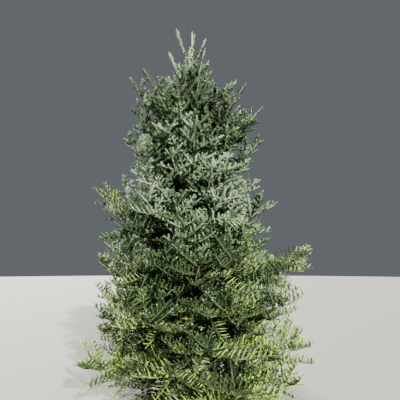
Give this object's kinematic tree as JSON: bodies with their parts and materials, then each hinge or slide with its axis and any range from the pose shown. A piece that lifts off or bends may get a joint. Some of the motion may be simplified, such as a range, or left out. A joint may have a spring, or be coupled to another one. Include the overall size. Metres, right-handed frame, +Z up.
{
  "type": "grand fir christmas tree",
  "caption": "Young evergreen tree with a straight tapering trunk, a bare leader, whorls of ascending boughs and dense flat sprays of silvery green needles down to the ground.",
  "frame": {"origin": "middle of the flat cut under the trunk, at ground level", "axes": "+Z up along the trunk; the picture looks along +Y; +X to the right in the picture"},
  "size_m": [2.9052, 2.8609, 5.1],
  "materials": {
    "bark": "matt smooth grey-brown bark with raised resin blisters and fine cross marks",
    "needles": "satin green needles with pale silvery undersides, on tan twigs"
  },
  "bodies": {
    "root": {"trunk": "bark", "bough_1_1": "bark", "bough_1_2": "bark", "bough_1_3": "bark", "bough_1_4": "bark", "bough_1_5": "bark", "bough_2_1": "bark", "bough_2_2": "bark", "bough_2_3": "bark", "bough_2_4": "bark", "bough_2_5": "bark", "foliage_1_1": "needles", "foliage_1_2": "needles", "foliage_1_3": "needles", "foliage_1_4": "needles", "foliage_1_5": "needles", "foliage_2_1": "needles", "foliage_2_2": "needles", "foliage_2_3": "needles", "foliage_2_4": "needles", "foliage_2_5": "needles", "foliage_3_1": "needles", "foliage_3_2": "needles", "foliage_3_3": "needles", "foliage_3_4": "needles", "foliage_3_5": "needles", "foliage_4_1": "needles", "foliage_4_2": "needles", "foliage_4_3": "needles", "foliage_4_4": "needles", "foliage_4_5": "needles", "foliage_5_1": "needles", "foliage_5_2": "needles", "foliage_5_3": "needles", "foliage_5_4": "needles", "foliage_5_5": "needles", "foliage_6_1": "needles", "foliage_6_2": "needles", "foliage_6_3": "needles", "foliage_6_4": "needles", "foliage_6_5": "needles", "foliage_7_1": "needles", "foliage_7_2": "needles", "foliage_7_3": "needles", "foliage_7_4": "needles", "foliage_7_5": "needles", "foliage_8_1": "needles", "foliage_8_2": "needles", "foliage_8_3": "needles", "foliage_8_4": "needles", "foliage_9_1": "needles", "foliage_9_2": "needles", "foliage_9_3": "needles", "foliage_9_4": "needles", "foliage_10_1": "needles", "foliage_10_2": "needles", "foliage_10_3": "needles", "foliage_10_4": "needles"}
  },
  "joints": []
}
